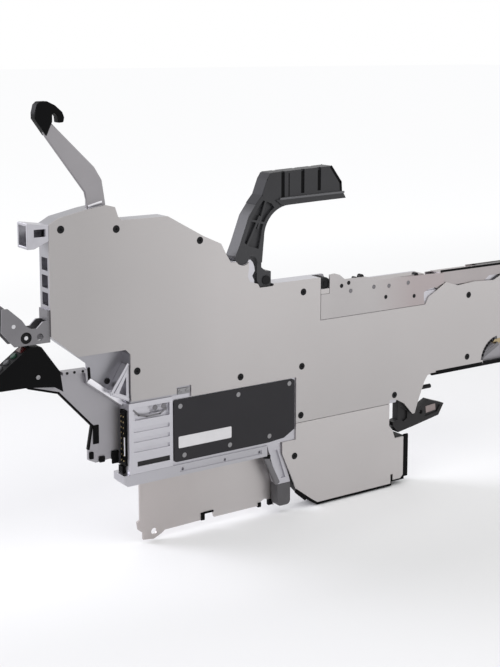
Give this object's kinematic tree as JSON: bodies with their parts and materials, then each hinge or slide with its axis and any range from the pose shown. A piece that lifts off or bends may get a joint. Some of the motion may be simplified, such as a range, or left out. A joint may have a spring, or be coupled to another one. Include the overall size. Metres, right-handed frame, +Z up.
{
  "type": "surface-mount tape feeder",
  "caption": "Slim electric tape feeder for a pick-and-place machine, with a sprocket drive, hinged tape cover, clamp handle with latch, control case and operation panel.",
  "frame": {"origin": "centre of the front locating pin's root, on the nose's front face", "axes": "+X along the feed, out of the nose; +Y across the slot to the far side; +Z up"},
  "size_m": [0.56, 0.017, 0.3514],
  "materials": {
    "side_plate": "satin sheet",
    "frame_aluminium": "milled and clear anodised",
    "black_moulding": "fine moulded grain",
    "handle_moulding": "fine moulded grain",
    "cover_black": "satin black paint",
    "dark_screw": "black oxide",
    "bright_screw": "zinc plated",
    "pin_steel": "ground",
    "latch_steel": "blackened steel",
    "guide_steel": "brushed sheet",
    "shutter_black": "black coated sheet",
    "gear_brass": "hobbed",
    "motor_case": "satin",
    "circuit_board": "solder mask",
    "roller_rubber": "matt",
    "button_green": "matt",
    "button_grey": "matt",
    "lens_red": "clear tinted"
  },
  "bodies": {
    "feeder": {"upper_side_plate": "side_plate", "lower_side_plate": "side_plate", "peel_cheek": "side_plate", "rear_arm": "side_plate", "lower_guide_plate": "side_plate", "tape_arm": "side_plate", "main_frame": "frame_aluminium", "control_case": "frame_aluminium", "connector_housing": "frame_aluminium", "base_rail": "frame_aluminium", "gusset": "frame_aluminium", "tape_chute": "frame_aluminium", "handle_rest": "frame_aluminium", "tape_bed": "frame_aluminium", "support_strut": "frame_aluminium", "module_body": "black_moulding", "panel_housing": "black_moulding", "tape_hook": "black_moulding", "rear_connector": "black_moulding", "nose_rail": "black_moulding", "strut_foot": "black_moulding", "control_cover": "cover_black", "side_plate_screws": "dark_screw", "cheek_screws": "dark_screw", "stop_pin": "dark_screw", "cover_screws": "bright_screw", "handle_pin": "pin_steel", "latch_pin": "pin_steel", "entry_axles": "pin_steel", "entry_bracket": "pin_steel", "front_locating_pin": "pin_steel", "upper_locating_pin": "pin_steel", "cover_hinge_pin": "pin_steel", "drive_axles": "pin_steel", "takeup_axles": "pin_steel", "rear_tape_cover": "guide_steel", "feed_motor": "motor_case", "takeup_motor": "motor_case", "control_board": "circuit_board", "driver_board": "circuit_board", "panel_lens": "lens_red"},
    "sprocket": {"tape_sprocket": "gear_brass", "sprocket_gear": "gear_brass"},
    "idler": {"idler_gear": "gear_brass"},
    "pinion": {"motor_pinion": "gear_brass"},
    "takeup": {"takeup_roller": "gear_brass"},
    "pinch": {"pinch_roller": "gear_brass"},
    "peel": {"peel_roller": "roller_rubber"},
    "entry_low": {"lower_entry_roller": "roller_rubber"},
    "entry_high": {"upper_entry_roller": "roller_rubber"},
    "handle": {"handle": "handle_moulding", "clamp_crank": "pin_steel"},
    "link": {"clamp_link": "pin_steel"},
    "latch": {"clamp_latch": "latch_steel"},
    "cover": {"tape_cover": "guide_steel"},
    "shutter": {"pickup_shutter": "shutter_black"},
    "feed": {"feed_button": "button_green"},
    "back": {"back_button": "button_grey"},
    "mode": {"mode_button": "button_grey"}
  },
  "joints": [
    {"name": "sprocket_turn", "type": "hinge", "parent": "feeder", "child": "sprocket", "pos_m": [-0.029, 0, 0.0572], "axis": [0, -1, 0], "continuous": true},
    {"name": "idler_turn", "type": "hinge", "parent": "feeder", "child": "idler", "pos_m": [-0.03687, 0, 0.02784], "axis": [0, -1, 0], "continuous": true},
    {"name": "pinion_turn", "type": "hinge", "parent": "feeder", "child": "pinion", "pos_m": [-0.04566, 0, 0.00899], "axis": [0, -1, 0], "continuous": true},
    {"name": "takeup_turn", "type": "hinge", "parent": "feeder", "child": "takeup", "pos_m": [-0.425, 0, 0.1176], "axis": [0, -1, 0], "continuous": true},
    {"name": "pinch_turn", "type": "hinge", "parent": "feeder", "child": "pinch", "pos_m": [-0.409, 0, 0.1176], "axis": [0, -1, 0], "continuous": true},
    {"name": "peel_turn", "type": "hinge", "parent": "feeder", "child": "peel", "pos_m": [-0.253, 0, 0.083], "axis": [0, -1, 0], "continuous": true},
    {"name": "entry_low_turn", "type": "hinge", "parent": "feeder", "child": "entry_low", "pos_m": [-0.5255, 0, 0.0715], "axis": [0, -1, 0], "continuous": true},
    {"name": "entry_high_turn", "type": "hinge", "parent": "feeder", "child": "entry_high", "pos_m": [-0.535, 0, 0.0811], "axis": [0, -1, 0], "continuous": true},
    {"name": "handle_tilt", "type": "hinge", "parent": "feeder", "child": "handle", "pos_m": [-0.3135, 0, 0.092], "axis": [0, 1, 0], "range_deg": [0, 14], "stiffness_Nm_per_rad": 1.5, "springref_deg": -8.59},
    {"name": "link_slide", "type": "slide", "parent": "feeder", "child": "link", "axis": [-0.9418, 0, 0.3361], "range_m": [0, 0.00689]},
    {"name": "latch_turn", "type": "hinge", "parent": "feeder", "child": "latch", "pos_m": [-0.161, 0, -0.024], "axis": [0, -1, 0], "range_deg": [0, 13.17]},
    {"name": "cover_lift", "type": "hinge", "parent": "feeder", "child": "cover", "pos_m": [-0.125, 0, 0.07], "axis": [0, -1, 0], "range_deg": [0, 50]},
    {"name": "shutter_slide", "type": "slide", "parent": "cover", "child": "shutter", "axis": [1, 0, 0], "range_m": [0, 0.012], "stiffness_N_per_m": 60, "springref_m": -0.002},
    {"name": "feed_press", "type": "slide", "parent": "feeder", "child": "feed", "axis": [0.5843, 0, -0.8115], "range_m": [0, 0.0008], "stiffness_N_per_m": 400, "springref_m": -0.0006},
    {"name": "back_press", "type": "slide", "parent": "feeder", "child": "back", "axis": [0.5843, 0, -0.8115], "range_m": [0, 0.0008], "stiffness_N_per_m": 400, "springref_m": -0.0006},
    {"name": "mode_press", "type": "slide", "parent": "feeder", "child": "mode", "axis": [0.5843, 0, -0.8115], "range_m": [0, 0.0008], "stiffness_N_per_m": 400, "springref_m": -0.0006}
  ],
  "couplings": [
    {"joint": "idler_turn", "follows": "sprocket_turn", "ratio": -1.1111},
    {"joint": "pinion_turn", "follows": "sprocket_turn", "ratio": 2.5},
    {"joint": "pinch_turn", "follows": "takeup_turn", "ratio": -1},
    {"joint": "link_slide", "follows": "handle_tilt", "m_per_rad": 0.028},
    {"joint": "latch_turn", "follows": "handle_tilt", "ratio": 0.93333}
  ]
}
